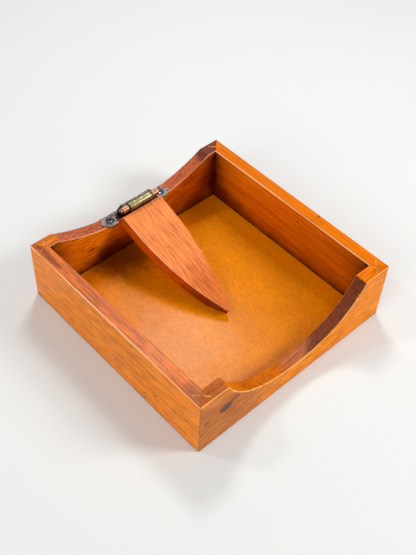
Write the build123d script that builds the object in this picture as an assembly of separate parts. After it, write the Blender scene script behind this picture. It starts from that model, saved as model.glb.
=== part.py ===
from build123d import *
import math
import os

# A square wooden napkin holder, open at the top. Four mitred walls, each mitre locked by a thin
# spline, stand round a ply floor that is let into grooves. A leaf-shaped wooden arm swings on a
# sprung barrel hinge screwed to the rim of the back wall, and its tip presses the napkins down.
#
# Millimetres. X runs across, -Y points to the deep scoop in the front wall, +Y to the hinge, and Z
# is up. The origin is the middle of the tray's underside.

# ---- tray ----
tray_width = 190.5
tray_depth = 190.5
wall_height = 55.0
wall_thickness = 11.1
corner_ease = 1.8            # radius of the four upright corners
rim_ease = 1.3               # radius along the rims and scoops
foot_ease = 0.8              # radius along the outer bottom edges

# ---- floor panel and its groove ----
floor_thickness = 3.2
floor_raise = 2.2            # underside of the panel above the table
groove_depth = 3.0
groove_clearance = 0.15      # between the panel's edges and the bottom of the groove

# ---- splines across the mitres ----
spline_length = 12.6
spline_thickness = 1.0
spline_setback = 10.3        # from the outer corner, along the mitre

# ---- front scoop: a shallow middle arc between two steeper arcs ----
front_shoulder = 26.0        # level rim left at each end
front_scoop_depth = 37.7
front_arc_width = 63.2       # chord of the middle arc
front_arc_rise = 4.9

# ---- back scoop: a level hinge seat between two long arcs ----
back_shoulder = 18.6
back_scoop_depth = 14.7
back_arc_radius = 165.0
seat_margin = 1.4            # level wood beyond each end of the hinge leaf
seat_blend = 12.0            # radius where the seat turns into the arcs
scoop_corner = 2.2           # radius where either scoop meets the level rim

# ---- hinge sheet metal ----
leaf_gauge = 1.1
leaf_length = 66.8
leaf_width = 12.0
leaf_back_margin = 1.7       # wood showing behind the leaf
nose_length = 2.6            # rounded nose at each end of the leaf
nose_width = 5.4
hollow_length = 2.6          # hollow between the nose and the lobe, along the leaf
hollow_radius = 3.4
lobe_ease = 1.2              # radius of the lobe's corner beside the notch
notch_radius = 6.8           # round gap in the leaf beside the barrel
riser_strip = 2.4            # width of the leaf left behind the barrel
riser_width = 29.0
riser_top_back = 6.4         # back of the riser's top behind the barrel's axis
riser_top_drop = 0.1         # the same point below the axis

# ---- barrel ----
barrel_lift = 9.9            # barrel axis above the leaf
pin_radius = 1.5
pin_press = 0.02
pin_head_radius = 2.2
pin_head_length = 2.1
pin_head_round = 1.5
middle_knuckle_length = 22.1
end_knuckle_length = 6.0
knuckle_gap = 0.8
spring_wire = 0.45
spring_clearance = 0.1       # inside and outside the coil, and past each end of it
spring_turns = 14
bush_length = 2.0
bush_running = 0.05          # bush round the pin
bush_flange_radius = 2.8
bush_flange = 0.6

# ---- arm ----
arm_length = 109.0
arm_width = 38.6
arm_thickness = 11.1
arm_shoulder = 12.0          # straight sides before the taper
arm_nose_width = 2.4
arm_nose = 0.9
arm_edge_ease = 0.7
arm_root_gap = 3.8           # barrel axis to the arm's end grain
arm_top_drop = 2.4           # arm's top face below the barrel axis
tip_gap = 2.6                # tip above the floor when closed
tip_height = 4.9
stop_gap = 0.2               # folded wing to the back wall when closed

# ---- wing under the arm ----
wing_width = 21.4
wing_length = 22.0
wing_bend = 1.5              # outside radius of its fold

# ---- screws ----
screw_fit = 0.05
rim_screw_spread = 51.2
rim_screw_length = 14.0
rim_screw_head = 5.8
rim_screw_shank = 2.9
arm_screw_spread = 11.6
arm_screw_reach = 12.5       # from the arm's end grain
arm_screw_length = 8.5
arm_screw_head = 5.0
arm_screw_shank = 2.6
screw_dome = 0.45
screw_point = 2.8            # length of the tapered point
recess_margin = 1.15         # metal left round the cross recess
recess_width = 0.75
recess_depth = 0.9

# ---- places worked out from the sizes ----
half_width = tray_width / 2
half_depth = tray_depth / 2
inner_width = tray_width - 2 * wall_thickness
inner_depth = tray_depth - 2 * wall_thickness
floor_top = floor_raise + floor_thickness
seat_z = wall_height - back_scoop_depth
leaf_top = seat_z + leaf_gauge
leaf_middle_y = half_depth - leaf_back_margin - leaf_width / 2
end_knuckle_bore = pin_radius + pin_press
end_knuckle_radius = end_knuckle_bore + leaf_gauge
spring_radius = pin_radius + spring_clearance + spring_wire / 2
spring_chamber = spring_radius + spring_wire / 2 + spring_clearance
middle_knuckle_radius = spring_chamber + leaf_gauge
end_knuckle_start = middle_knuckle_length / 2 + knuckle_gap
end_knuckle_end = end_knuckle_start + end_knuckle_length
axis_z = leaf_top + barrel_lift
wing_depth = arm_top_drop + arm_thickness + leaf_gauge

# The arm closes until its tip stands tip_gap above the floor.
tip_reach = arm_root_gap + arm_length
tip_fall = axis_z - (floor_top + tip_gap + tip_height)
arm_tilt = math.degrees(
    math.asin(tip_fall / math.hypot(tip_reach, arm_top_drop)) - math.atan2(arm_top_drop, tip_reach)
)

# The fold of the wing then meets the inside of the back wall, which sets the barrel's place.
tilt = math.radians(arm_tilt)
fold_y = -(middle_knuckle_radius - leaf_gauge + wing_bend)
fold_z = -(wing_depth - wing_bend)
fold_reach = fold_y * math.cos(tilt) - fold_z * math.sin(tilt) + wing_bend
axis_y = half_depth - wall_thickness - stop_gap - fold_reach

closed = Location((0, axis_y, axis_z), (arm_tilt, 0, 0))
cut_margin = 10.0            # how far cutting tools run past the wood
near = 0.01                  # places closer than this count as one


def block(x_range, y_range, z_range):
    """Box between two corners, each range given as (low, high)."""
    size = [high - low for low, high in (x_range, y_range, z_range)]
    middle = [(high + low) / 2 for low, high in (x_range, y_range, z_range)]
    return Pos(*middle) * Box(*size)


def rod_along_x(radius, start, end):
    """Round bar on the X axis between two stations."""
    return Pos(start, 0, 0) * extrude(Plane.YZ * Circle(radius), end - start)


def tube_along_x(outer, inner, start, end):
    """Tube on the X axis between two stations."""
    return rod_along_x(outer, start, end) - rod_along_x(inner, start, end)


# ---- tray ----
def front_scoop():
    """Outline of the wood removed from the front board, in the XZ plane."""
    low = wall_height - front_scoop_depth
    half_chord = half_width - front_shoulder
    half_arc = front_arc_width / 2
    spring_line = low + front_arc_rise
    middle = ThreePointArc((-half_arc, spring_line), (0, low), (half_arc, spring_line))
    right = TangentArc((half_arc, spring_line), (half_chord, wall_height), tangent=middle % 1)
    left = mirror(right, Plane.YZ)
    above = wall_height + cut_margin
    lid = Polyline(
        (half_chord, wall_height), (half_chord, above), (-half_chord, above), (-half_chord, wall_height)
    )
    return make_face(middle.edges() + right.edges() + left.edges() + lid.edges())


def back_scoop():
    """Outline of the wood removed from the back board, in the XZ plane."""
    half_chord = half_width - back_shoulder
    half_seat = leaf_length / 2 + seat_margin
    seat = Line((-half_seat, seat_z), (half_seat, seat_z))
    right = RadiusArc((half_seat, seat_z), (half_chord, wall_height), -back_arc_radius)
    left = mirror(right, Plane.YZ)
    above = wall_height + cut_margin
    lid = Polyline(
        (half_chord, wall_height), (half_chord, above), (-half_chord, above), (-half_chord, wall_height)
    )
    return make_face(seat.edges() + right.edges() + left.edges() + lid.edges())


def corners_at(outline, height):
    """Corners of an outline at one height, apart from those at its two ends."""
    reach = max(vertex.X for vertex in outline.vertices())
    return [v for v in outline.vertices() if abs(v.Y - height) < near and abs(v.X) < reach - near]


def board(length, thickness, scoop=None, blends=()):
    """Straight board along X, its outer face at Y = 0 and its inner face at Y = thickness.

    The blends are (height, radius) pairs that soften the corners of its outline at that height.
    """
    outline = Rectangle(length, wall_height, align=(Align.CENTER, Align.MIN))
    if scoop is not None:
        outline -= scoop
    for height, radius in blends:
        outline = fillet(corners_at(outline, height), radius)
    wood = Pos(0, thickness, 0) * extrude(Plane.XZ * outline, thickness)
    ends = [f for f in wood.faces().filter_by(Axis.X) if abs(abs(f.center().X) - length / 2) < near]
    end_edges = [edge for face in ends for edge in face.edges()]
    rims = [
        edge
        for edge in wood.edges()
        if edge.center().Z > foot_ease and edge.bounding_box().size.Y < near
        and not any(edge.is_same(other) for other in end_edges)
    ]
    wood = fillet(rims, rim_ease)
    foot = [e for e in wood.edges().filter_by(Axis.X) if abs(e.center().Y) + abs(e.center().Z) < near]
    return fillet(foot, foot_ease)


def mitre_prism(length):
    """Space that a wall may fill: its ends are cut at 45 degrees."""
    half = length / 2
    outline = Polyline(
        (-half, 0),
        (half, 0),
        (half - wall_thickness, wall_thickness),
        (wall_thickness - half, wall_thickness),
        close=True,
    )
    return extrude(make_face(outline), wall_height)


def floor_block(clearance):
    """The floor panel, or with no clearance the groove that holds it."""
    half_x = inner_width / 2 + groove_depth - clearance
    half_y = inner_depth / 2 + groove_depth - clearance
    return block((-half_x, half_x), (-half_y, half_y), (floor_raise, floor_top))


def mitre_spline(side_x, side_y):
    """Thin tongue across the mitre at one corner, from the foot to the rim."""
    inset = spline_setback / math.sqrt(2)
    centre = (side_x * (half_width - inset), side_y * (half_depth - inset), wall_height / 2)
    turn = -45 * side_x * side_y
    return Pos(*centre) * Rot(0, 0, turn) * Box(spline_length, spline_thickness, wall_height)


corners = {
    "front_left": (-1, -1),
    "front_right": (1, -1),
    "back_left": (-1, 1),
    "back_right": (1, 1),
}
splines = {f"spline_{name}": mitre_spline(*sides) for name, sides in corners.items()}
groove = floor_block(0)
upright_corners = fillet(
    block((-half_width, half_width), (-half_depth, half_depth), (0, wall_height)).edges().filter_by(Axis.Z),
    corner_ease,
)


def wall(length, place, scoop=None, blends=()):
    """One mitred wall, grooved for the floor and slotted for its two splines."""
    wood = place * (board(length, wall_thickness, scoop, blends) & mitre_prism(length))
    wood = wood & upright_corners
    wood -= groove
    for spline in splines.values():
        wood -= spline
    return wood


# ---- screws ----
def screw_profile(head, shank, length, fit):
    """Half outline of a countersunk screw, its head's rim at Z = 0, with fit added all round."""
    head_radius = head / 2 + fit
    shank_radius = shank / 2 + fit
    cone = head_radius - shank_radius
    return Polyline(
        (0, 0),
        (head_radius, 0),
        (shank_radius, -cone),
        (shank_radius, screw_point - length),
        (0, -length - fit),
        close=True,
    )


def screw_space(head, shank, length):
    """Hole for a countersunk screw, open above its head."""
    hole = revolve(Plane.XZ * make_face(screw_profile(head, shank, length, screw_fit)), Axis.Z)
    return hole + Cylinder(head / 2 + screw_fit, leaf_gauge, align=(Align.CENTER, Align.CENTER, Align.MIN))


def screw(head, shank, length):
    """Countersunk screw with a low dome and a cross recess."""
    body = revolve(Plane.XZ * make_face(screw_profile(head, shank, length, 0)), Axis.Z)
    dome_radius = ((head / 2) ** 2 + screw_dome**2) / (2 * screw_dome)
    dome = Pos(0, 0, screw_dome - dome_radius) * Sphere(dome_radius)
    body += dome & Cylinder(head / 2, screw_dome, align=(Align.CENTER, Align.CENTER, Align.MIN))
    slot = Box(head - 2 * recess_margin, recess_width, recess_depth * 2)
    cross = Pos(0, 0, screw_dome) * (slot + Rot(0, 0, 90) * slot)
    return body - cross


rim_screw_places = {
    "left": Pos(-rim_screw_spread / 2, leaf_middle_y, leaf_top),
    "right": Pos(rim_screw_spread / 2, leaf_middle_y, leaf_top),
}
wing_under = closed * Pos(0, -arm_root_gap - arm_screw_reach, -wing_depth) * Rot(180, 0, 0)
arm_screw_places = {
    "left": wing_under * Pos(-arm_screw_spread / 2, 0, 0),
    "right": wing_under * Pos(arm_screw_spread / 2, 0, 0),
}
rim_screw_space = screw_space(rim_screw_head, rim_screw_shank, rim_screw_length)
arm_screw_space = screw_space(arm_screw_head, arm_screw_shank, arm_screw_length)


# ---- hinge ----
def leaf_outline():
    """Plan of the fixed leaf about its own middle: nosed lobes, and round notches by the barrel."""
    half = leaf_length / 2
    edge = leaf_width / 2
    nose_x = half - nose_length
    nose_y = nose_width / 2
    lobe_x = nose_x - hollow_length
    notch_x = riser_width / 2
    strip_y = edge - riser_strip
    outline = Rectangle(2 * lobe_x, leaf_width)
    for side in (-1, 1):
        back_hollow = RadiusArc((side * lobe_x, edge), (side * nose_x, nose_y), side * hollow_radius)
        nose = ThreePointArc((side * nose_x, nose_y), (side * half, 0), (side * nose_x, -nose_y))
        front_hollow = RadiusArc((side * nose_x, -nose_y), (side * lobe_x, -edge), side * hollow_radius)
        root = Line((side * lobe_x, -edge), (side * lobe_x, edge))
        outline += make_face(back_hollow.edges() + nose.edges() + front_hollow.edges() + root.edges())
        outline -= Pos(side * notch_x, strip_y - notch_radius) * Circle(notch_radius)
    barrel_gap = Rectangle(riser_width, leaf_width, align=(Align.CENTER, Align.MAX))
    outline -= Pos(0, strip_y) * barrel_gap
    lobe_corners = [v for v in outline.vertices() if v.Y < near - edge and abs(v.X) < lobe_x - near]
    return fillet(lobe_corners, lobe_ease)


def hinge_fixed_leaf():
    """Leaf on the rim, the riser behind the barrel, and the two end knuckles."""
    plate = Pos(0, leaf_middle_y, seat_z) * extrude(leaf_outline(), leaf_gauge)
    heel_y = leaf_middle_y + leaf_width / 2
    crest = (axis_y + riser_top_back, axis_z - riser_top_drop)
    lean = math.hypot(heel_y - crest[0], crest[1] - leaf_top)
    across = leaf_gauge * lean / (crest[1] - leaf_top)
    riser_side = Polyline(
        (heel_y, leaf_top), crest, (crest[0] - across, crest[1]), (heel_y - across, leaf_top), close=True
    )
    riser = extrude(Plane.YZ * make_face(riser_side), riser_width / 2, both=True)
    leaf = plate + riser
    reach = math.hypot(riser_top_back, riser_top_drop)
    tangent_angle = math.acos(end_knuckle_radius / reach) - math.atan2(riser_top_drop, riser_top_back)
    outer_touch = (
        axis_y + end_knuckle_radius * math.cos(tangent_angle),
        axis_z + end_knuckle_radius * math.sin(tangent_angle),
    )
    inner_touch = (
        axis_y + end_knuckle_bore * math.cos(tangent_angle),
        axis_z + end_knuckle_bore * math.sin(tangent_angle),
    )
    web_side = Polyline(crest, outer_touch, inner_touch, (crest[0] - across, crest[1]), close=True)
    web = Plane.YZ * make_face(web_side)
    barrel = Pos(0, axis_y, axis_z)
    for side in (-1, 1):
        start, end = sorted((side * end_knuckle_start, side * end_knuckle_end))
        web_start, web_end = sorted((side * end_knuckle_start, side * riser_width / 2))
        leaf += Pos(web_start, 0, 0) * extrude(web, web_end - web_start)
        leaf += barrel * rod_along_x(end_knuckle_radius, start, end)
        leaf -= barrel * rod_along_x(end_knuckle_bore, start, end)
    for place in rim_screw_places.values():
        leaf -= place * rim_screw_space
    return leaf


def hinge_moving_leaf():
    """Middle knuckle and the wing that folds down the arm's end and under it."""
    half = middle_knuckle_length / 2
    sheet_inner = middle_knuckle_radius - leaf_gauge
    sheet_middle = middle_knuckle_radius - leaf_gauge / 2
    wing_end = arm_root_gap + wing_length
    knuckle = tube_along_x(middle_knuckle_radius, spring_chamber, -half, half)
    side = Polyline(
        (-sheet_inner, 0),
        (-sheet_inner, -wing_depth),
        (-wing_end, -wing_depth),
        (-wing_end, leaf_gauge - wing_depth),
        (-middle_knuckle_radius, leaf_gauge - wing_depth),
        (-middle_knuckle_radius, 0),
        close=True,
    )
    wing = extrude(Plane.YZ * make_face(side), wing_width / 2, both=True)
    fold = wing.edges().filter_by(Axis.X).sort_by_distance((0, -sheet_inner, -wing_depth))[0]
    wing = fillet(fold, wing_bend)
    wing -= rod_along_x(sheet_middle, -half, half)
    leaf = closed * (knuckle + wing)
    for place in arm_screw_places.values():
        leaf -= place * arm_screw_space
    return leaf


def hinge_pin():
    """Headed pin through all three knuckles."""
    shaft = rod_along_x(pin_radius, -end_knuckle_end, end_knuckle_end)
    head = rod_along_x(pin_head_radius, end_knuckle_end, end_knuckle_end + pin_head_length)
    crown = head.edges().sort_by(Axis.X)[-1]
    head = fillet(crown, pin_head_round)
    return Pos(0, axis_y, axis_z) * (shaft + head + mirror(head, Plane.YZ))


def knuckle_bush(side):
    """Flanged bush pressed into one end of the middle knuckle."""
    end = middle_knuckle_length / 2
    bore = pin_radius + bush_running
    sleeve = tube_along_x(spring_chamber, bore, end - bush_length, end)
    flange = tube_along_x(bush_flange_radius, bore, end, end + bush_flange)
    bush = sleeve + flange
    if side < 0:
        bush = mirror(bush, Plane.YZ)
    return closed * bush


def closing_spring():
    """Torsion spring wound round the pin between the two bushes."""
    room = middle_knuckle_length - 2 * (bush_length + spring_clearance)
    height = room - spring_wire
    coil = Helix(pitch=height / spring_turns, height=height, radius=spring_radius)
    start = Plane(origin=coil @ 0, z_dir=coil % 0)
    wire = sweep(start * Circle(spring_wire / 2), path=coil, is_frenet=True)
    return Pos(-height / 2, axis_y, axis_z) * Rot(0, 90, 0) * wire


# ---- arm ----
def napkin_arm():
    """Leaf-shaped arm, level underneath at the tip, drilled for the wing's screws."""
    half = arm_width / 2
    taper_end = (arm_nose_width / 2, arm_nose - arm_length)
    root = Polyline((0, 0), (half, 0), (half, -arm_shoulder))
    taper = TangentArc((half, -arm_shoulder), taper_end, tangent=(0, -1))
    nose = ThreePointArc(taper_end, (0, -arm_length), (-taper_end[0], taper_end[1]))
    right = root.edges() + taper.edges()
    left = mirror(root, Plane.YZ).edges() + mirror(taper, Plane.YZ).edges()
    outline = make_face(right + nose.edges() + left)
    wood = extrude(outline, -arm_thickness)
    wood = fillet(wood.faces().sort_by(Axis.Z)[-1].edges(), arm_edge_ease)
    wood = closed * Pos(0, -arm_root_gap, -arm_top_drop) * wood
    wood -= block(
        (-arm_width, arm_width), (-half_depth, half_depth - wall_thickness), (-wall_height, floor_top + tip_gap)
    )
    for place in arm_screw_places.values():
        wood -= place * arm_screw_space
    return wood


front_place = Pos(0, -half_depth, 0)
back_place = Pos(0, half_depth, 0) * Rot(0, 0, 180)
left_place = Pos(-half_width, 0, 0) * Rot(0, 0, -90)
right_place = Pos(half_width, 0, 0) * Rot(0, 0, 90)

front_blends = ((wall_height, scoop_corner),)
back_blends = ((wall_height, scoop_corner), (seat_z, seat_blend))
back_wall = wall(tray_width, back_place, back_scoop(), back_blends)
for screw_place in rim_screw_places.values():
    back_wall -= screw_place * rim_screw_space

nodes = {
    "front_wall": wall(tray_width, front_place, front_scoop(), front_blends),
    "back_wall": back_wall,
    "left_wall": wall(tray_depth, left_place),
    "right_wall": wall(tray_depth, right_place),
    "floor_panel": floor_block(groove_clearance),
    **splines,
    "napkin_arm": napkin_arm(),
    "hinge_fixed_leaf": hinge_fixed_leaf(),
    "hinge_moving_leaf": hinge_moving_leaf(),
    "hinge_pin": hinge_pin(),
    "closing_spring": closing_spring(),
    "bush_left": knuckle_bush(-1),
    "bush_right": knuckle_bush(1),
}
for name, screw_place in rim_screw_places.items():
    nodes[f"rim_screw_{name}"] = screw_place * screw(rim_screw_head, rim_screw_shank, rim_screw_length)
for name, screw_place in arm_screw_places.items():
    nodes[f"arm_screw_{name}"] = screw_place * screw(arm_screw_head, arm_screw_shank, arm_screw_length)

os.makedirs("parts", exist_ok=True)
for name, shape in nodes.items():
    export_step(shape, f"parts/{name}.step")

print(f"hinge axis at y {axis_y:.3f}, z {axis_z:.3f}; the closed arm falls {arm_tilt:.2f} degrees")
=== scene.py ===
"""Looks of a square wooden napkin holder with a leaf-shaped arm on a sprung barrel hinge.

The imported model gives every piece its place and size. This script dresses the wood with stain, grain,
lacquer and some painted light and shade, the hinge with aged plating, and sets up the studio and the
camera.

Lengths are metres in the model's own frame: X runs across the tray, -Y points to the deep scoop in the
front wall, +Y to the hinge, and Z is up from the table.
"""

import logging
import math
from dataclasses import dataclass
from enum import Enum
from typing import Any

import bpy
import numpy as np
from mathutils import Matrix, Vector


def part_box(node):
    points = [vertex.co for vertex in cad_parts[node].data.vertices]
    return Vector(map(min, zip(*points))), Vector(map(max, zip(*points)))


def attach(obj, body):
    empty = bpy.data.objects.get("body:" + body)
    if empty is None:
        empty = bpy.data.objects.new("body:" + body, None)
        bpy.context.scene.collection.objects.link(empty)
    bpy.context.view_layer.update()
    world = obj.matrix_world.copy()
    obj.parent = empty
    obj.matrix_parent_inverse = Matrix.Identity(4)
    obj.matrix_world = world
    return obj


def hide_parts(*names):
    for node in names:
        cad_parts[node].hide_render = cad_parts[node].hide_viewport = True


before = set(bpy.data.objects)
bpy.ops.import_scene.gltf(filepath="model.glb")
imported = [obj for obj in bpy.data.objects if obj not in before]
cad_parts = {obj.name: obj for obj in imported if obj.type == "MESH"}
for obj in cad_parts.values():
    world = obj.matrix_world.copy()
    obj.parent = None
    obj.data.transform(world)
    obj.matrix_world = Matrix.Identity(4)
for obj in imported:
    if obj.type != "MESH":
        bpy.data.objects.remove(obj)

log = logging.getLogger("napkin_holder")

MM = 0.001

Colour = tuple[float, float, float]
Place = tuple[float, float, float]
Socket = bpy.types.NodeSocket


# ---------------------------------------------------------------------------------------------------
# Drawing node trees
# ---------------------------------------------------------------------------------------------------
class Graph:
    """Adds nodes to one node tree and joins them up."""

    def __init__(self, tree: bpy.types.NodeTree) -> None:
        """Keeps the tree that is drawn in."""
        self.tree = tree

    def add(self, kind: str, inputs: dict[Any, Any] | None = None, **settings: Any) -> bpy.types.Node:
        """Adds one node.

        Args:
            kind: the node's type.
            inputs: values or sockets for its inputs, by name or number.
            settings: properties of the node itself.

        Returns:
            The new node.
        """
        node = self.tree.nodes.new(kind)
        for name, value in settings.items():
            setattr(node, name, value)
        for key, value in (inputs or {}).items():
            self.feed(node.inputs[key], value)
        return node

    def feed(self, socket: Socket, value: Any) -> None:
        """Links a socket to another one, or sets its own value."""
        if isinstance(value, bpy.types.NodeSocket):
            self.tree.links.new(value, socket)
        elif isinstance(value, tuple) and socket.type == "RGBA":
            socket.default_value = (*value, 1.0)
        else:
            socket.default_value = value

    def math(self, operation: str, *operands: Any, clamp: bool = False) -> Socket:
        """Result of a number operation on values or sockets."""
        node = self.add("ShaderNodeMath", dict(enumerate(operands)), operation=operation, use_clamp=clamp)
        return node.outputs[0]

    def times(self, *factors: Any) -> Socket:
        """Product of two or more values or sockets."""
        result = factors[0]
        for factor in factors[1:]:
            result = self.math("MULTIPLY", result, factor)
        return result

    def rest(self, share: Any) -> Socket:
        """What is left of a share: one minus it."""
        return self.math("SUBTRACT", 1.0, share)

    def vector(self, operation: str, *operands: Any) -> Socket:
        """Result of a vector operation: a number for lengths and dot products, or else a vector."""
        node = self.add("ShaderNodeVectorMath", dict(enumerate(operands)), operation=operation)
        numbers = operation in ("LENGTH", "DOT_PRODUCT", "DISTANCE")
        return node.outputs["Value" if numbers else "Vector"]

    def parts(self, vector: Socket) -> tuple[Socket, Socket, Socket]:
        """The three coordinates of a vector."""
        node = self.add("ShaderNodeSeparateXYZ", {0: vector})
        return node.outputs[0], node.outputs[1], node.outputs[2]

    def noise(self, place: Socket, scale: Any, detail: float = 2.0, roughness: float = 0.5) -> Socket:
        """Soft noise between 0 and 1.

        Args:
            place: where it is read.
            scale: features per metre along each axis, as three numbers or a socket.
            detail: number of finer layers.
            roughness: strength of the finer layers.

        Returns:
            The noise's value.
        """
        spot = self.vector("MULTIPLY", place, scale)
        node = self.add("ShaderNodeTexNoise", {"Vector": spot, "Scale": 1.0, "Detail": detail})
        node.inputs["Roughness"].default_value = roughness
        return node.outputs["Fac"]

    def step(self, value: Any, low: Any, high: Any) -> Socket:
        """0 below low and 1 above high, with a smooth rise between them."""
        inputs = {"Value": value, "From Min": low, "From Max": high}
        node = self.add("ShaderNodeMapRange", inputs, interpolation_type="SMOOTHSTEP")
        return node.outputs["Result"]

    def span(self, value: Any, low: float, high: float) -> Socket:
        """Stretches a value between 0 and 1 to run from low to high."""
        node = self.add("ShaderNodeMapRange", {"Value": value, "To Min": low, "To Max": high})
        return node.outputs["Result"]

    def mix(self, share: Any, first: Any, second: Any, blend: str = "MIX") -> Socket:
        """Blends two colours.

        Args:
            share: how much of the second shows.
            first: colour or socket.
            second: colour or socket.
            blend: way of blending.

        Returns:
            The blended colour.
        """
        node = self.add("ShaderNodeMix", data_type="RGBA", blend_type=blend)
        colours = [s for s in node.inputs if s.type == "RGBA"]
        self.feed(node.inputs[0], share)
        self.feed(colours[0], first)
        self.feed(colours[1], second)
        return next(s for s in node.outputs if s.type == "RGBA")

    def shaded(self, colour: Any, shade: Any) -> Socket:
        """A colour made lighter or darker by a number."""
        grey = self.add("ShaderNodeCombineColor", {0: shade, 1: shade, 2: shade}).outputs[0]
        return self.mix(1.0, colour, grey, "MULTIPLY")

    def coat(
        self,
        shader: bpy.types.Node,
        colour: Any,
        roughness: Any,
        height: Socket,
        strength: float,
        depth: float,
    ) -> None:
        """Gives a shader its colour, its roughness and its relief.

        Args:
            shader: the Principled shader.
            colour: colour or socket.
            roughness: number or socket.
            height: how high the relief stands, from 0 to 1.
            strength: how much of the relief shows.
            depth: what a height of 1 stands for.
        """
        node = self.add("ShaderNodeBump", {"Strength": strength, "Distance": depth, "Height": height})
        self.feed(shader.inputs["Base Color"], colour)
        self.feed(shader.inputs["Roughness"], roughness)
        self.feed(shader.inputs["Normal"], node.outputs["Normal"])

    def use(self, group: bpy.types.NodeTree, **inputs: Any) -> bpy.types.Node:
        """Places a shared group and feeds its inputs, whose names have _ for a space."""
        node = self.add("ShaderNodeGroup", node_tree=group)
        for name, value in inputs.items():
            self.feed(node.inputs[name.replace("_", " ")], value)
        return node


class SharedGroup:
    """A node group that several finishes place, each with its own values."""

    def __init__(self, name: str) -> None:
        """Starts an empty group with an input and an output node."""
        self.tree = bpy.data.node_groups.new(name, "ShaderNodeTree")
        self.graph = Graph(self.tree)
        self.entry = self.tree.nodes.new("NodeGroupInput")
        self.exit = self.tree.nodes.new("NodeGroupOutput")

    def takes(self, name: str, kind: str = "Float", value: float | None = None) -> Socket:
        """Adds an input and returns the socket to read it from."""
        item = self.tree.interface.new_socket(name, in_out="INPUT", socket_type=f"NodeSocket{kind}")
        if value is not None:
            item.default_value = value
        return self.entry.outputs[name]

    def gives(self, name: str, source: Socket, kind: str = "Float") -> None:
        """Adds an output fed from a socket of the group."""
        self.tree.interface.new_socket(name, in_out="OUTPUT", socket_type=f"NodeSocket{kind}")
        self.tree.links.new(source, self.exit.inputs[name])


def growth_rings_group() -> bpy.types.NodeTree:
    """Growth rings, fibre, streaks, flecks and pores of a sawn board.

    Place has the grain along its X axis and the pith of the trunk on that axis. A ring is a band of the
    distance from the axis, to which slow noise that is long along the grain is added. Each band rises
    slowly to its dark late wood and drops at once to the next year's pale wood.

    Returns:
        The group.
    """
    group = SharedGroup("growth_rings")
    g = group.graph
    place = group.takes("Place", "Vector")
    spacing = group.takes("Ring Spacing", value=3 * MM)
    wander = group.takes("Wander", value=4 * MM)
    bulge = group.takes("Bulge", value=0.0)
    weave = group.takes("Fibre Scale", "Vector")

    radius = g.vector("LENGTH", g.vector("MULTIPLY", place, (0.0, 1.0, 1.0)))
    slow = g.math("SUBTRACT", g.noise(place, (9.0, 30.0, 30.0), 1.0), 0.5)
    ripple = g.math("SUBTRACT", g.noise(place, (55.0, 240.0, 240.0), 2.0), 0.5)
    shift = g.times(g.math("MULTIPLY_ADD", ripple, 0.22, slow), wander)
    turns = g.math("DIVIDE", g.math("ADD", g.math("ADD", radius, shift), bulge), spacing)
    uneven = g.add("ShaderNodeTexNoise", {"W": turns, "Scale": 0.7, "Detail": 0.0}, noise_dimensions="1D")
    turns = g.math("MULTIPLY_ADD", uneven.outputs["Fac"], 1.4, turns)
    year = g.math("FRACT", turns)
    fall = g.rest(g.step(year, 0.94, 1.0))
    random = g.add("ShaderNodeTexWhiteNoise", {"W": g.math("FLOOR", turns)}, noise_dimensions="1D")
    strength = g.span(random.outputs["Value"], 0.3, 1.0)

    group.gives("Late", g.times(g.step(year, 0.3, 0.92), fall, strength))
    group.gives("Fibre", g.step(g.noise(place, weave, 2.0, 0.6), 0.28, 0.72))
    group.gives("Streak", g.step(g.noise(place, (55.0, 760.0, 760.0), 2.0, 0.6), 0.53, 0.6))
    group.gives("Fleck", g.step(g.noise(place, (150.0, 800.0, 800.0), 1.0), 0.66, 0.72))
    group.gives("Cloud", g.noise(place, (11.0, 32.0, 32.0), 3.0, 0.6))
    return group.tree


def knot_group() -> bpy.types.NodeTree:
    """A knot in a board.

    The distance from the knot's centre, with the grain direction shortened, gives its dark core, the
    ring round it, its halo, and the bulge by which the growth rings bend round it: a bell curve of
    that distance.

    Returns:
        The group.
    """
    group = SharedGroup("knot")
    g = group.graph
    place = group.takes("Place", "Vector")
    centre = group.takes("Centre", "Vector")
    size = group.takes("Size", value=3 * MM)

    gap = g.vector("MULTIPLY", g.vector("SUBTRACT", place, centre), (0.75, 0.75, 1.0))
    ragged = g.times(g.math("SUBTRACT", g.noise(place, (300.0, 300.0, 360.0)), 0.5), 0.7)
    distance = g.math("ADD", g.math("DIVIDE", g.vector("LENGTH", gap), size), ragged)
    bell = g.math("EXPONENT", g.times(g.math("POWER", distance, 2.0), -0.12))
    core = g.rest(g.step(distance, 0.72, 0.95))
    group.gives("Core", core)
    group.gives("Ring", g.math("SUBTRACT", g.rest(g.step(distance, 0.95, 1.25)), core))
    group.gives("Halo", g.rest(g.step(distance, 0.9, 3.2)))
    group.gives("Bulge", g.times(bell, size, 3.4))
    return group.tree


def blotch_group() -> bpy.types.NodeTree:
    """A soft-edged area where the stain took differently, or where light or shade is painted.

    The mask falls from 1 to 0 with the distance from the centre, measured in reaches along each axis
    and made ragged with noise. Softness is the width of its edge, in reaches.

    Returns:
        The group.
    """
    group = SharedGroup("stain_and_painted_light_blotch")
    g = group.graph
    place = group.takes("Place", "Vector")
    centre = group.takes("Centre", "Vector")
    reach = group.takes("Reach", "Vector")
    softness = group.takes("Softness", value=0.75)

    gap = g.vector("DIVIDE", g.vector("SUBTRACT", place, centre), reach)
    ragged = g.times(g.math("SUBTRACT", g.noise(place, (70.0, 70.0, 90.0), 3.0, 0.6), 0.5), 0.9)
    inner = g.math("SUBTRACT", 1.1, softness)
    group.gives("Mask", g.rest(g.step(g.math("ADD", g.vector("LENGTH", gap), ragged), inner, 1.1)))
    return group.tree


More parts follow.
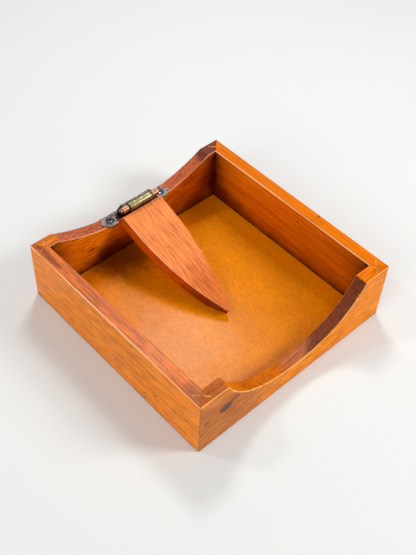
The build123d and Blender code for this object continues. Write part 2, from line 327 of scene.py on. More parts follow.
def corner_shade_group(inner_half: float, floor_top: float) -> bpy.types.NodeTree:
    """Painted shade inside the tray, along its upright corners and just above the floor, where shade
    falls.

    The mask is the larger of two decays: one with the distance from the nearest inner corner, one with
    the height above the floor. It is 0 outside the inner faces.

    Args:
        inner_half: half of the tray's inside width.
        floor_top: height of the floor's upper face.

    Returns:
        The group.
    """
    group = SharedGroup("painted_corner_shade")
    g = group.graph
    place = group.takes("Place", "Vector")
    x, y, z = g.parts(g.vector("ABSOLUTE", place))

    along = g.math("SUBTRACT", inner_half, g.math("MINIMUM", x, y))
    corner = g.math("EXPONENT", g.math("DIVIDE", along, -15 * MM))
    low = g.math("EXPONENT", g.math("DIVIDE", g.math("SUBTRACT", z, floor_top), -13 * MM))
    inside = g.rest(g.step(g.math("MAXIMUM", x, y), inner_half + 0.1 * MM, inner_half + 0.5 * MM))
    patchy = g.span(g.noise(place, (45.0, 45.0, 60.0), 3.0, 0.6), 0.6, 1.5)
    # Painted shade: darkest in the inner corners and along the floor, 0 outside the inner faces.
    group.gives("Painted Shade", g.times(g.math("MAXIMUM", corner, low), inside, patchy))
    return group.tree


def lacquer_group() -> bpy.types.NodeTree:
    """Skin of a brushed lacquer: how rough it is from place to place, and its small waves.

    Slow noise gives rubbed and full areas, finer noise gives the waves and specks of dust under it.

    Returns:
        The group.
    """
    group = SharedGroup("lacquer_skin")
    g = group.graph
    place = group.takes("Place", "Vector")
    smooth = group.takes("Smooth", value=0.15)
    rubbed = group.takes("Rubbed", value=0.3)

    patches = g.step(g.noise(place, (28.0, 28.0, 28.0), 3.0, 0.6), 0.35, 0.7)
    rough = g.math("ADD", smooth, g.times(patches, g.math("SUBTRACT", rubbed, smooth)))
    waves = g.noise(place, (260.0, 260.0, 260.0), 1.0)
    specks = g.step(g.noise(place, (1500.0, 1500.0, 1500.0), 0.0), 0.74, 0.8)
    group.gives("Roughness", rough)
    group.gives("Height", g.math("MULTIPLY_ADD", specks, 0.3, g.times(waves, 0.6)))
    return group.tree


def patina_group() -> bpy.types.NodeTree:
    """Wear of plated metal.

    Worn is where the surface turns away from the one a little way off, so along arrises, broken up by
    noise, and Tarnish is a mottle of slow and fine noise.

    Returns:
        The group.
    """
    group = SharedGroup("patina")
    g = group.graph
    place = group.takes("Place", "Vector")
    reach = group.takes("Reach", value=0.35 * MM)

    rounded = g.add("ShaderNodeBevel", {"Radius": reach}, samples=4).outputs["Normal"]
    flat = g.add("ShaderNodeNewGeometry").outputs["Normal"]
    turn = g.rest(g.vector("DOT_PRODUCT", rounded, flat))
    breakup = g.noise(place, (700.0, 700.0, 700.0), 2.0, 0.6)
    group.gives("Worn", g.times(g.step(turn, 0.02, 0.2), g.step(breakup, 0.38, 0.62)))
    group.gives("Tarnish", g.step(g.noise(place, (170.0, 170.0, 170.0), 3.0, 0.6), 0.35, 0.66))
    group.gives("Grit", g.noise(place, (2200.0, 2200.0, 2200.0), 2.0, 0.6))
    return group.tree


@dataclass
class Groups:
    """The shared node groups, built once."""

    rings: bpy.types.NodeTree
    knot: bpy.types.NodeTree
    blotch: bpy.types.NodeTree
    # Painted shade in the tray's inner corners and above its floor.
    pool: bpy.types.NodeTree
    lacquer: bpy.types.NodeTree
    patina: bpy.types.NodeTree

    @classmethod
    def build(cls) -> "Groups":
        """Builds all of them, with the tray's inside read from the frame."""
        inner_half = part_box("right_wall")[0].x
        floor_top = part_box("floor_panel")[1].z
        return cls(
            rings=growth_rings_group(),
            knot=knot_group(),
            blotch=blotch_group(),
            pool=corner_shade_group(inner_half, floor_top),
            lacquer=lacquer_group(),
            patina=patina_group(),
        )


# ---------------------------------------------------------------------------------------------------
# Finishes
# ---------------------------------------------------------------------------------------------------
class Grain(Enum):
    """Which way a board's grain runs: the turn about Z that brings it onto the X axis."""

    ACROSS = 0.0
    FRONT_TO_BACK = -90.0


class Face(Enum):
    """Which axis crosses a board's two faces, once its grain lies along X."""

    UPRIGHT = 1
    LYING = 2


def new_material(name: str) -> tuple[bpy.types.Material, Graph, bpy.types.Node]:
    """Starts a material.

    Args:
        name: its name.

    Returns:
        The material, its graph and its Principled shader, joined to the output.
    """
    material = bpy.data.materials.new(name)
    material.use_nodes = True
    material.node_tree.nodes.clear()
    graph = Graph(material.node_tree)
    shader = graph.add("ShaderNodeBsdfPrincipled")
    output = graph.add("ShaderNodeOutputMaterial")
    graph.feed(output.inputs["Surface"], shader.outputs["BSDF"])
    return material, graph, shader


@dataclass(frozen=True)
class Knot:
    """A knot at a place on a board, in the model's frame."""

    centre: Place
    size: float


class Where(Enum):
    """The surfaces of a board that a blotch is on."""

    FACES = "faces"
    EDGES = "edges"
    RIM = "rim"
    SCOOP = "scoop"


@dataclass(frozen=True)
class Blotch:
    """An area of other stain, or of painted light or shade: where it is, how far it reaches along each
    axis, and how strong it is.
    """

    centre: Place
    reach: Place
    colour: Colour
    strength: float
    where: Where = Where.FACES
    softness: float = 0.75


def in_mm(x: float, y: float, z: float) -> Place:
    """A place or reach given in millimetres."""
    return (x * MM, y * MM, z * MM)


@dataclass(frozen=True)
class StainedWood:
    """Stained and lacquered softwood, one for each board.

    Pale and dark are the early and late wood of the faces, rim and end those of the edges. The arris
    colour is partly wear and partly a painted highlight, strongest on arrises that face the lamps' side.
    The shade colour is painted shade in the inner corners and above the floor. Rim_depth, seam and the
    foot band are
    where a soft border starts and ends: below the top, off a mitre and above the table, where the foot
    band is painted shade along the bottom edge.
    """

    name: str
    pale: Colour
    dark: Colour
    rim: Colour
    end: Colour
    grain: Grain
    pith: Place
    # Arrises facing this side carry the strongest painted highlight, toward the lamps.
    highlit_side: Place = (-0.71, 0.0, 0.71)
    wear_and_highlight_colour: Colour = (1.0, 0.66, 0.40)
    fleck: Colour = (0.13, 0.022, 0.006)
    knot_colour: Colour = (0.085, 0.055, 0.062)
    # Colour of the painted shade in the inner corners and above the floor.
    shade_colour: Colour = (0.085, 0.008, 0.0015)
    face: Face = Face.UPRIGHT
    tilt: float = 0.0
    ring_spacing: float = 3 * MM
    wander: float = 6 * MM
    fibre_scale: Place = (70.0, 900.0, 900.0)
    fibre: float = 0.32
    contrast: float = 0.42
    flecks: float = 0.5
    # Strength of the painted shade in the inner corners and above the floor.
    corner_shade: float = 0.8
    wear_and_highlight: float = 0.6
    smooth: float = 0.24
    rubbed: float = 0.38
    lacquer_index: float = 1.2
    rim_depth: tuple[float, float] = (0.8 * MM, 0.2 * MM)
    seam: tuple[float, float] = (0.15 * MM, 0.45 * MM)
    foot_shade: tuple[float, float] = (0.8 * MM, 2.2 * MM)
    relief: float = 0.12 * MM
    knots: tuple[Knot, ...] = ()
    blotches: tuple[Blotch, ...] = ()

    def material(self, groups: Groups) -> bpy.types.Material:
        """Builds the material.

        Args:
            groups: the shared node groups.

        Returns:
            The finished material.
        """
        material, g, shader = new_material(self.name)
        spots = g.add("ShaderNodeTexCoord")
        spot = spots.outputs["Object"]
        place = self._turned(g, spot, "POINT")
        normal = self._turned(g, spots.outputs["Normal"], "NORMAL")
        knots = [g.use(groups.knot, Place=spot, Centre=knot.centre, Size=knot.size) for knot in self.knots]

        bulge: Any = 0.0
        for knot in knots:
            bulge = g.math("ADD", bulge, knot.outputs["Bulge"])
        wood = g.use(
            groups.rings,
            Place=g.vector("SUBTRACT", place, self.pith),
            Ring_Spacing=self.ring_spacing,
            Wander=self.wander,
            Bulge=bulge,
            Fibre_Scale=self.fibre_scale,
        )
        across = g.math("ABSOLUTE", g.parts(normal)[self.face.value])
        on_face = g.step(across, 0.6, 0.72)
        edge = g.rest(on_face)
        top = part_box("left_wall")[1].z
        below, above = self.rim_depth
        level = g.step(g.parts(spot)[2], top - below, top - above)
        rim, scoop = g.times(edge, level), g.times(edge, g.rest(level))
        areas = {Where.FACES: on_face, Where.EDGES: edge, Where.RIM: rim, Where.SCOOP: scoop}

        colour = g.mix(on_face, self.rim, self.pale)
        shadows = g.mix(on_face, self.end, self.dark)
        for blotch in self.blotches:
            mask = g.use(groups.blotch, Place=spot, Centre=blotch.centre, Reach=blotch.reach)
            mask.inputs["Softness"].default_value = blotch.softness
            share = g.times(mask.outputs["Mask"], blotch.strength, areas[blotch.where])
            colour = g.mix(share, colour, blotch.colour)
            shadows = g.mix(g.times(share, 0.6), shadows, g.shaded(blotch.colour, 0.5))
        colour = self._figure(g, wood, colour, shadows)
        for knot in knots:
            colour = g.mix(g.times(knot.outputs["Halo"], 0.3), colour, self.dark)
            colour = g.mix(g.times(knot.outputs["Ring"], 0.6), colour, self.fleck)
            colour = g.mix(g.times(knot.outputs["Core"], 0.9), colour, self.knot_colour)
        colour = g.mix(g.times(wood.outputs["Fleck"], self.flecks), colour, self.fleck)
        # Painted shade in the inner corners and just above the floor.
        pool = g.use(groups.pool, Place=spot).outputs["Painted Shade"]
        colour = g.mix(g.math("MULTIPLY", pool, self.corner_shade, clamp=True), colour, self.shade_colour)
        if self.face is Face.UPRIGHT:
            colour = self._seams_and_foot_shade(g, spot, colour)
        # Paler arrises: wear with a painted highlight from the lamps' side.
        colour = g.mix(self._wear_and_highlight(g, across, spots.outputs["Normal"], wood), colour, self.wear_and_highlight_colour)

        skin = g.use(groups.lacquer, Place=place, Smooth=self.smooth, Rubbed=self.rubbed)
        relief = g.math("MULTIPLY_ADD", wood.outputs["Fleck"], -0.8, skin.outputs["Height"])
        relief = g.math("MULTIPLY_ADD", wood.outputs["Fibre"], 0.8, relief)
        relief = g.math("MULTIPLY_ADD", wood.outputs["Streak"], -0.4, relief)
        g.coat(shader, colour, skin.outputs["Roughness"], relief, strength=0.35, depth=self.relief)
        shader.inputs["IOR"].default_value = self.lacquer_index
        return material

    def _turned(self, g: Graph, source: Socket, kind: str) -> Socket:
        """Turns a place or a normal so that the grain lies along X."""
        level = (math.radians(self.tilt), 0.0, 0.0)
        swing = (0.0, 0.0, math.radians(self.grain.value))
        for turn in (level, swing):
            node = g.add("ShaderNodeMapping", {"Vector": source, "Rotation": turn}, vector_type=kind)
            source = node.outputs[0]
        return source

    def _wear_and_highlight(self, g: Graph, across: Socket, normal: Socket, wood: bpy.types.Node) -> Socket:
        """Share of the arris colour: partly wear, partly a painted highlight.

        An arris is where twice the product of the normal's part across the board and the part along it
        is near 1. The painted highlight is strongest where the arris faces the lamps' side, and the wood's
        clouds break the line up.
        """
        along = g.math("SQRT", g.math("SUBTRACT", 1.0001, g.times(across, across)))
        arris = g.step(g.times(2.0, across, along), 0.72, 0.96)
        facing = g.span(g.step(g.vector("DOT_PRODUCT", normal, self.highlit_side), 0.5, 0.85), 0.2, 1.0)
        broken = g.span(g.step(wood.outputs["Cloud"], 0.36, 0.56), 0.35, 1.0)
        return g.times(arris, facing, broken, self.wear_and_highlight)

    def _figure(self, g: Graph, wood: bpy.types.Node, pale: Socket, dark: Socket) -> Socket:
        """Growth rings, streaks, clouds and fibre laid over each other."""
        colour = g.mix(g.times(wood.outputs["Late"], self.contrast), pale, dark)
        colour = g.mix(g.times(wood.outputs["Streak"], self.contrast), colour, dark)
        cloudy = g.times(g.step(wood.outputs["Cloud"], 0.48, 0.75), 0.6, self.contrast)
        colour = g.mix(cloudy, colour, dark)
        return g.shaded(colour, g.span(wood.outputs["Fibre"], 1.0 - self.fibre, 1.0 + self.fibre))

    def _seams_and_foot_shade(self, g: Graph, spot: Socket, colour: Socket) -> Socket:
        """Dark glue lines where the mitres meet, and a band of painted shade along the foot, whose rounded
        edge faces down.
        """
        x, y, z = g.parts(g.vector("ABSOLUTE", spot))
        seam = g.rest(g.step(g.math("ABSOLUTE", g.math("SUBTRACT", x, y)), *self.seam))
        # Painted shade along the foot.
        foot_shade = g.rest(g.step(z, *self.foot_shade))
        colour = g.mix(g.times(seam, 0.6), colour, self.fleck)
        return g.mix(g.times(foot_shade, 0.5), colour, self.fleck)


@dataclass(frozen=True)
class LacqueredPly:
    """Open-grained golden ply, lacquered.

    A border is where the painted light or shadow along a wall starts and ends, as distances from that
    wall.
    Lacquer is the places from front left to back right between which it thins, and gloss its strength at
    both.
    """

    name: str
    pale: Colour
    dark: Colour
    # Edge is the colour of the painted light along the right and back walls.
    edge: Colour
    inner_half: float
    smooth: float
    rubbed: float
    right_painted_light: tuple[float, float] = (13 * MM, 8 * MM)
    back_painted_light: tuple[float, float] = (26 * MM, 2 * MM)
    front_painted_shadow: tuple[float, float] = (24 * MM, 6 * MM)
    left_painted_shadow: tuple[float, float] = (20 * MM, 2 * MM)
    raggedness: float = 9 * MM
    lacquer: tuple[float, float] = (-45 * MM, 40 * MM)
    gloss: tuple[float, float] = (0.65, 0.14)
    relief: float = 0.09 * MM
    # Where the painted shadow of the arm and hinge lies on the floor, and its colour.
    shadow_centre: Place = in_mm(-24, 84, 5)
    shadow_reach: Place = in_mm(40, 44, 12)
    shade_colour: Colour = (0.13, 0.022, 0.0005)

    def material(self, groups: Groups) -> bpy.types.Material:
        """Builds the material: short pores and a shimmer of fibre along Y, with painted light along the
        right and back walls and painted shadow along the front and left.

        A painted shadow of the arm and hinge lies on the floor under the hinge. The lacquer is full at the
        left and thin at the right and back.

        Args:
            groups: the shared node groups.

        Returns:
            The finished material.
        """
        material, g, shader = new_material(self.name)
        place = g.add("ShaderNodeTexCoord").outputs["Object"]
        pores = g.step(g.noise(place, (1500.0, 420.0, 1500.0), 1.0, 0.6), 0.48, 0.58)
        cloud = g.step(g.noise(place, (24.0, 10.0, 24.0), 3.0, 0.6), 0.35, 0.75)
        fibre = g.step(g.noise(place, (1000.0, 240.0, 1000.0), 2.0, 0.6), 0.28, 0.72)
        share = g.math("ADD", g.times(pores, 0.24), g.times(cloud, 0.35), clamp=True)
        colour = g.shaded(g.mix(share, self.pale, self.dark), g.span(fibre, 0.86, 1.14))
        x, y, _ = g.parts(place)
        ragged = g.times(g.math("SUBTRACT", g.noise(place, (40.0, 40.0, 40.0)), 0.5), self.raggedness)
        right = self._border(g, g.math("ADD", x, ragged), self.right_painted_light)
        back = self._border(g, g.math("ADD", y, ragged), self.back_painted_light)
        front = self._border(g, g.math("SUBTRACT", ragged, y), self.front_painted_shadow)
        left = self._border(g, g.math("SUBTRACT", ragged, x), self.left_painted_shadow)
        # Painted light: a brighter, redder band along the right and back walls, where their shadow falls.
        colour = g.mix(g.times(g.math("MAXIMUM", right, back), 0.5), colour, self.edge)
        # Painted shadow of the front and left walls, along them on the floor.
        colour = g.mix(g.times(front, 0.5), colour, self.dark)
        colour = g.mix(g.times(left, 0.6), colour, self.dark)
        # Painted shadow of the arm and hinge on the floor.
        pool = g.use(groups.blotch, Place=place, Centre=self.shadow_centre, Reach=self.shadow_reach)
        pool.inputs["Softness"].default_value = 0.95
        colour = g.mix(g.times(pool.outputs["Mask"], 0.85), colour, self.shade_colour)
        skin = g.use(groups.lacquer, Place=place, Smooth=self.smooth, Rubbed=self.rubbed)
        relief = g.math("MULTIPLY_ADD", pores, -0.6, g.times(skin.outputs["Height"], 0.5))
        g.coat(shader, colour, skin.outputs["Roughness"], relief, strength=0.6, depth=self.relief)
        thin = g.step(g.math("MULTIPLY_ADD", y, 0.5, x), *self.lacquer)
        g.feed(shader.inputs["Specular IOR Level"], g.span(thin, *self.gloss))
        shader.inputs["IOR"].default_value = 1.17
        return material

    def _border(self, g: Graph, toward: Socket, border: tuple[float, float]) -> Socket:
        """Share of the painted light or shadow along a wall, from the distance toward that wall."""
        start, end = border
        return g.step(toward, self.inner_half - start, self.inner_half - end)


@dataclass(frozen=True)
class SplineStrip:
    """Golden strip across a mitre, its stain uneven."""

    name: str
    golden: Colour
    stained: Colour
    roughness: float
    relief: float = 0.1 * MM

    def material(self, groups: Groups) -> bpy.types.Material:
        """Builds the material.

        Args:
            groups: the shared node groups.

        Returns:
            The finished material.
        """
        material, g, shader = new_material(self.name)
        place = g.add("ShaderNodeTexCoord").outputs["Object"]
        patchy = g.step(g.noise(place, (260.0, 260.0, 60.0), 2.0), 0.42, 0.56)
        fibre = g.span(g.noise(place, (900.0, 900.0, 90.0)), 0.7, 1.3)
        colour = g.shaded(g.mix(patchy, self.golden, self.stained), fibre)
        skin = g.use(groups.lacquer, Place=place, Smooth=self.roughness, Rubbed=self.roughness + 0.1)
        rough, relief = skin.outputs["Roughness"], skin.outputs["Height"]
        g.coat(shader, colour, rough, relief, strength=0.3, depth=self.relief)
        shader.inputs["IOR"].default_value = 1.2
        return material


@dataclass(frozen=True)
class Hollow:
    """A place on the plating that is darkened: within a radius of a line parallel to Z."""

    x: float
    y: float
    radius: float


@dataclass(frozen=True)
class PlatedMetal:
    """Aged plating over steel: a tarnished colour, a cleaner one, and the one that wear lays bare."""

    name: str
    tarnished: Colour
    clean: Colour
    bare: Colour
    polished: float
    dull: float
    grit: float = 0.2
    relief: float = 0.05 * MM
    dark_ring_edge: float = 0.3 * MM
    dark_ring: Colour = (0.006, 0.005, 0.005)
    hollows: tuple[Hollow, ...] = ()

    def material(self, groups: Groups) -> bpy.types.Material:
        """Builds the material from the shared patina, with its hollows darkened."""
        material, g, shader = new_material(self.name)
        place = g.add("ShaderNodeTexCoord").outputs["Object"]
        wear = g.use(groups.patina, Place=place)
        colour = g.mix(wear.outputs["Tarnish"], self.clean, self.tarnished)
        colour = g.mix(wear.outputs["Worn"], colour, self.bare)
        for hollow in self.hollows:
            gap = g.vector("SUBTRACT", place, (hollow.x, hollow.y, 0.0))
            distance = g.vector("LENGTH", g.vector("MULTIPLY", gap, (1.0, 1.0, 0.0)))
            darkened = g.rest(g.step(distance, hollow.radius - self.dark_ring_edge, hollow.radius))
            colour = g.mix(darkened, colour, self.dark_ring)
        rough = g.span(wear.outputs["Tarnish"], self.polished, self.dull)
        g.coat(shader, colour, rough, wear.outputs["Grit"], strength=self.grit, depth=self.relief)
        shader.inputs["Metallic"].default_value = 1.0
        return material


@dataclass(frozen=True)
class MouldedNylon:
    """Black moulded plastic with a fine grain."""

    name: str
    colour: Colour
    roughness: float
    relief: float = 0.03 * MM

    def material(self) -> bpy.types.Material:
        """Builds the material."""
        material, g, shader = new_material(self.name)
        place = g.add("ShaderNodeTexCoord").outputs["Object"]
        grain = g.noise(place, (3000.0, 3000.0, 3000.0), 1.0)
        g.coat(shader, self.colour, self.roughness, grain, strength=0.15, depth=self.relief)
        return material


# ---------------------------------------------------------------------------------------------------
# Studio
# ---------------------------------------------------------------------------------------------------
@dataclass(frozen=True)
class Viewpoint:
    """Where the camera stands, what the middle of its picture shows, and how it is turned."""

    position: Place = (-313.17 * MM, -313.07 * MM, 535.12 * MM)
    aim: Place = (6.24 * MM, 6.53 * MM, 20.05 * MM)
    roll: float = 3.30
    lens: float = 56.85
    sensor: float = 36.0

    def place_camera(self) -> None:
        """Adds the scene's camera."""
        data = bpy.data.cameras.new("camera")
        data.lens = self.lens
        data.sensor_fit = "AUTO"
        data.sensor_width = self.sensor
        camera = bpy.data.objects.new("camera", data)
        bpy.context.scene.collection.objects.link(camera)
        toward = Vector(self.aim) - Vector(self.position)
        turn = toward.to_track_quat("-Z", "Y").to_matrix().to_4x4()
        roll = Matrix.Rotation(math.radians(self.roll), 4, "Z")
        camera.matrix_world = Matrix.Translation(self.position) @ turn @ roll
        bpy.context.scene.camera = camera


@dataclass(frozen=True)
class Softbox:
    """A square lamp that faces the tray."""

    name: str
    position: Place
    size: float
    power: float

    def place(self) -> None:
        """Adds the lamp."""
        data = bpy.data.lights.new(self.name, "AREA")
        data.shape = "SQUARE"
        data.size = self.size
        data.energy = self.power
        lamp = bpy.data.objects.new(self.name, data)
        bpy.context.scene.collection.objects.link(lamp)
        toward = (-Vector(self.position)).to_track_quat("-Z", "Y").to_matrix().to_4x4()
        lamp.matrix_world = Matrix.Translation(self.position) @ toward


@dataclass(frozen=True)
class Studio:
    """Plain pale floor, pale surroundings and soft lamps."""

    floor_half: float = 4.0
    floor_colour: Colour = (0.76, 0.775, 0.765)
    sky_colour: Colour = (0.93, 0.94, 0.93)
    sky_light: float = 0.36
    far_glow: float = 0.75
    glow_reach: tuple[float, float] = (0.9, 2.2)
    lamps: tuple[Softbox, ...] = (
        Softbox("back_right_softbox", (0.36, 0.42, 0.82), 0.2, 3.3),
        Softbox("front_right_softbox", (0.55, -0.68, 0.68), 0.3, 6.0),
        Softbox("left_softbox", (-1.0, -0.25, 0.75), 0.6, 5.0),
        Softbox("back_left_softbox", (-0.46, 0.52, 0.86), 0.1, 1.4),
    )

    def build(self) -> None:
        """Adds the floor, the world and the lamps, and sets the view transform."""
        self._floor()
        self._world()
        for lamp in self.lamps:
            lamp.place()
        bpy.context.scene.view_settings.view_transform = "Standard"

    def _floor(self) -> None:
        """One large square at the height of the table, kept pale to the camera beyond the lamps' reach."""
        half = self.floor_half
        mesh = bpy.data.meshes.new("studio_floor")
        square = [(-half, -half, 0.0), (half, -half, 0.0), (half, half, 0.0), (-half, half, 0.0)]
        mesh.from_pydata(square, [], [(0, 1, 2, 3)])
        floor = bpy.data.objects.new("studio_floor", mesh)
        bpy.context.scene.collection.objects.link(floor)
        material, g, shader = new_material("pale_floor")
        place = g.add("ShaderNodeTexCoord").outputs["Object"]
        far = g.step(g.vector("LENGTH", place), *self.glow_reach)
        seen = g.add("ShaderNodeLightPath").outputs["Is Camera Ray"]
        g.feed(shader.inputs["Emission Strength"], g.times(far, seen, self.far_glow))
        g.feed(shader.inputs["Emission Color"], self.floor_colour)
        g.feed(shader.inputs["Base Color"], self.floor_colour)
        shader.inputs["Roughness"].default_value = 0.9
        shader.inputs["Specular IOR Level"].default_value = 0.1
        mesh.materials.append(material)

    def _world(self) -> None:
        """Pale surroundings, brighter to the camera and in reflections than as a light."""
        world = bpy.data.worlds.new("studio")
        bpy.context.scene.world = world
        world.use_nodes = True
        world.node_tree.nodes.clear()
        g = Graph(world.node_tree)
        path = g.add("ShaderNodeLightPath")
        seen = g.math("MAXIMUM", path.outputs["Is Camera Ray"], path.outputs["Is Glossy Ray"])
        strength = g.span(seen, self.sky_light, 1.0)
        sky = g.add("ShaderNodeBackground", {"Color": self.sky_colour, "Strength": strength})
        output = g.add("ShaderNodeOutputWorld")
        g.feed(output.inputs["Surface"], sky.outputs["Background"])


# ---------------------------------------------------------------------------------------------------
# The pieces
# ---------------------------------------------------------------------------------------------------
def dress(node: str, material: bpy.types.Material) -> None:
    """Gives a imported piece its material."""
    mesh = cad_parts[node].data
    mesh.materials.clear()
    mesh.materials.append(material)
    log.info("dressed %s with %s", node, material.name)


MAROON = (0.15, 0.03, 0.016)
UMBER = (0.22, 0.045, 0.01)
# Black for the painted shadow under the hinge's barrel.
BLACK_SHADOW = (0.003, 0.001, 0.001)


@dataclass(frozen=True)
class Tray:
    """The four walls, their splines and the floor panel."""

    front: StainedWood = StainedWood(
        name="front_board",
        pale=(0.96, 0.272, 0.004),
        dark=(0.54, 0.12, 0.004),
        rim=(0.76, 0.17, 0.004),
        end=(0.40, 0.08, 0.006),
        grain=Grain.ACROSS,
        pith=in_mm(0, -60, -30),
        highlit_side=(0.0, -0.71, 0.71),
        wear_and_highlight_colour=(1.0, 0.56, 0.20),
        ring_spacing=2.6 * MM,
        wander=6 * MM,
        contrast=0.36,
        flecks=0.35,
        wear_and_highlight=0.75,
        lacquer_index=1.12,
        knots=(Knot(in_mm(-71.3, -95.2, 33.0), 4.1 * MM),),
        blotches=(
            # Browner left end of the front, with painted shade and a painted sheen over the stain.
            Blotch(in_mm(-80, -95, 22), in_mm(74, 25, 50), (0.54, 0.175, 0.048), 0.85),
            Blotch(in_mm(-63.0, -95.2, 36.8), in_mm(7, 4, 3.0), UMBER, 0.85),
            Blotch(in_mm(-88, -95.2, 30.5), in_mm(5, 4, 2.4), MAROON, 0.6),
            Blotch(in_mm(-84, -90, 55), in_mm(18, 12, 4), (0.36, 0.085, 0.014), 0.8, Where.RIM, 0.3),
            Blotch(in_mm(-28, -90, 22), in_mm(50, 40, 22), (0.56, 0.12, 0.003), 0.85, Where.SCOOP, 0.6),
            Blotch(in_mm(8, -90, 19), in_mm(20, 40, 9), (0.42, 0.12, 0.05), 0.85, Where.SCOOP, 0.5),
            # Dark end grain with painted shade on the right half of the front scoop.
            Blotch(in_mm(52, -90, 36), in_mm(43, 40, 40), (0.14, 0.036, 0.018), 0.95, Where.SCOOP, 0.4),
        ),
    )
    back: StainedWood = StainedWood(
        name="back_board",
        pale=(0.94, 0.24, 0.003),
        dark=(0.40, 0.075, 0.002),
        rim=(0.50, 0.11, 0.035),
        end=MAROON,
        grain=Grain.ACROSS,
        pith=in_mm(0, 130, -20),
        highlit_side=(0.0, -0.71, 0.71),
        wear_and_highlight_colour=(0.88, 0.45, 0.32),
        ring_spacing=3.0 * MM,
        contrast=0.34,
        corner_shade=1.0,
        blotches=(
            # Painted shade on the right part of the back wall's inside, where the arm's shadow falls.
            Blotch(in_mm(62, 84, 30), in_mm(44, 6, 34), (0.34, 0.024, 0.001), 0.75),
            # Painted shadow of the arm on the back wall's inside, left of the arm.
            Blotch(in_mm(-28, 84, 12), in_mm(27, 6, 16), (0.10, 0.008, 0.001), 0.85, softness=0.95),
            Blotch(in_mm(-47.5, 84.1, 26), in_mm(5.5, 3, 1.7), MAROON, 0.9),
            Blotch(in_mm(-61, 84.1, 46.5), in_mm(6, 3, 1.5), MAROON, 0.75),
            Blotch(in_mm(84, 90, 54), in_mm(19, 12, 9), (0.13, 0.022, 0.014), 0.9, Where.EDGES, 0.4),
            Blotch(in_mm(-86, 92, 55), in_mm(15, 12, 6), (0.70, 0.17, 0.006), 0.8, Where.EDGES, 0.3),
            # Painted shadow on the rim under the hinge's barrel.
            Blotch(in_mm(0, 85.5, 40.3), in_mm(26, 8, 3), BLACK_SHADOW, 1.0, Where.EDGES, 0.25),
        ),
    )
    left: StainedWood = StainedWood(
        name="left_board",
        pale=(0.95, 0.262, 0.010),
        dark=(0.46, 0.098, 0.006),
        rim=(0.70, 0.168, 0.028),
        end=(0.24, 0.045, 0.03),
        grain=Grain.FRONT_TO_BACK,
        pith=in_mm(0, -110, -50),
        ring_spacing=2.6 * MM,
        wander=5 * MM,
        fibre=0.3,
        contrast=0.3,
        flecks=0.6,
        wear_and_highlight=0.95,
        blotches=(
            Blotch(in_mm(-87.4, 22, 55), in_mm(1.7, 62, 3), (0.34, 0.07, 0.04), 0.45, Where.RIM, 0.5),
            Blotch(in_mm(-91, 76, 55), in_mm(2.6, 26, 3), (0.17, 0.03, 0.02), 0.75, Where.RIM, 0.6),
            Blotch(in_mm(-90, -84, 55), in_mm(8, 14, 3), (0.28, 0.06, 0.014), 0.7, Where.RIM, 0.6),
        ),
    )
    right: StainedWood = StainedWood(
        name="right_board",
        pale=(0.80, 0.165, 0.002),
        dark=(0.40, 0.06, 0.001),
        rim=(0.74, 0.168, 0.001),
        end=(0.40, 0.07, 0.001),
        grain=Grain.FRONT_TO_BACK,
        pith=in_mm(0, 60, -120),
        ring_spacing=4.2 * MM,
        fibre_scale=(16.0, 420.0, 420.0),
        fibre=0.14,
        contrast=0.25,
        flecks=0.25,
        corner_shade=0.95,
        wear_and_highlight=0.95,
        lacquer_index=1.12,
        blotches=(
            Blotch(in_mm(84, -70, 34), in_mm(4, 76, 44), (0.60, 0.135, 0.001), 0.6),
            # Painted light high on the back half of the right wall's inside.
            Blotch(in_mm(84, 62, 50), in_mm(4, 46, 16), (1.0, 0.24, 0.002), 0.8),
            # Painted shade in the low back corner of the right wall's inside.
            Blotch(in_mm(84, 84, 6), in_mm(6, 44, 24), (0.13, 0.008, 0.001), 0.85),
            Blotch(in_mm(84, -12, 45), in_mm(3, 2.2, 1.2), MAROON, 0.7),
            Blotch(in_mm(93, -25, 55), in_mm(1.4, 1.4, 1.4), MAROON, 0.8, Where.EDGES),
        ),
    )
    spline: SplineStrip = SplineStrip("spline_strip", (0.62, 0.27, 0.055), (0.34, 0.085, 0.012), 0.3)

    def build(self, groups: Groups) -> None:
        """Dresses every piece of the tray."""
        for side in ("front", "back", "left", "right"):
            dress(f"{side}_wall", getattr(self, side).material(groups))
        strip = self.spline.material(groups)
        for corner in ("front_left", "front_right", "back_left", "back_right"):
            dress(f"spline_{corner}", strip)
        inner_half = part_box("right_wall")[0].x
        panel = LacqueredPly(
            name="floor_ply",
            pale=(0.82, 0.25, 0.001),
            dark=(0.48, 0.112, 0.0005),
            # Edge is painted light along the right and back walls.
            edge=(0.92, 0.24, 0.0005),
            inner_half=inner_half,
            smooth=0.18,
            rubbed=0.25,
        )
        dress("floor_panel", panel.material(groups))


ARM_FALL = 18.68


